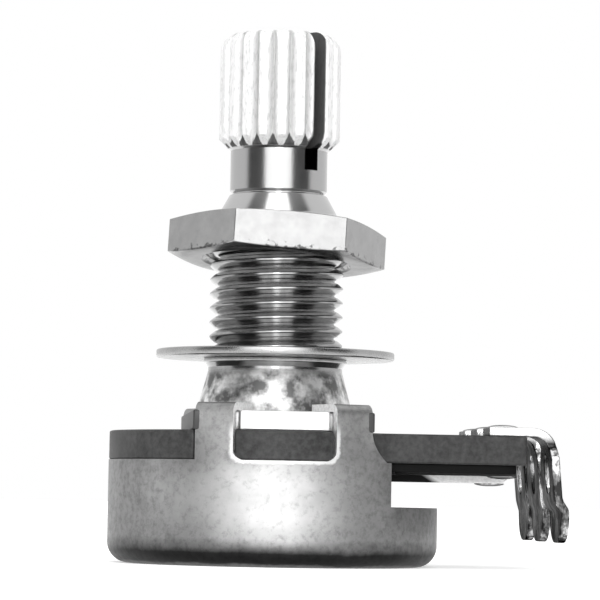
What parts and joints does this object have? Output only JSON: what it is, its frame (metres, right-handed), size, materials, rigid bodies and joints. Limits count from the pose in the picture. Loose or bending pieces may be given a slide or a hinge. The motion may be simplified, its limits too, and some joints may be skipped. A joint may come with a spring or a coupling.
{
  "type": "rotary potentiometer",
  "caption": "Miniature rotary potentiometer standing on its can, with a split knurled shaft, a threaded bushing with loose nut and washer, and solder lugs on a side tongue.",
  "frame": {"origin": "centre of the can's flat back face, on the shaft axis", "axes": "+Z along the shaft to its knurled end, +X out along the tongue that carries the solder lugs"},
  "size_m": [0.0232, 0.0172, 0.0279],
  "materials": {
    "can_steel": "satin",
    "wafer_moulding": "satin",
    "plate_metal": "satin",
    "black_laminate": "matte",
    "carbon_print": "matte",
    "contact_strip": "satin",
    "lug_metal": "satin",
    "rivet_metal": "satin",
    "bushing_metal": "gloss",
    "shaft_metal": "satin",
    "spring_steel": "satin",
    "rotor_nylon": "matte",
    "wiper_bronze": "satin",
    "washer_steel": "satin",
    "nut_steel": "satin"
  },
  "bodies": {
    "housing": {"can": "can_steel", "wafer": "wafer_moulding", "front_plate": "plate_metal", "resistance_element": "black_laminate", "carbon_track": "carbon_print", "collector": "contact_strip", "terminal_1": "lug_metal", "terminal_2": "lug_metal", "terminal_3": "lug_metal", "rivet_1": "rivet_metal", "rivet_2": "rivet_metal", "rivet_3": "rivet_metal", "bushing": "bushing_metal"},
    "spindle": {"shaft": "shaft_metal", "retaining_clip": "spring_steel", "thrust_washer": "spring_steel", "rotor": "rotor_nylon", "wiper": "wiper_bronze"},
    "washer": {"flat_washer": "washer_steel"},
    "nut": {"hex_nut": "nut_steel"}
  },
  "joints": [
    {"name": "shaft_turn", "type": "hinge", "parent": "housing", "child": "spindle", "pos_m": [0, 0, 0.0136], "axis": [0, 0, 1], "range_deg": [-150, 150]},
    {"name": "nut_travel", "type": "slide", "parent": "housing", "child": "nut", "axis": [0, 0, 1], "range_m": [0, 0.025]},
    {"name": "washer_travel", "type": "slide", "parent": "housing", "child": "washer", "axis": [0, 0, 1], "range_m": [0, 0.025]}
  ],
  "couplings": [
    {"joint": "washer_travel", "follows": "nut_travel", "ratio": 1}
  ]
}
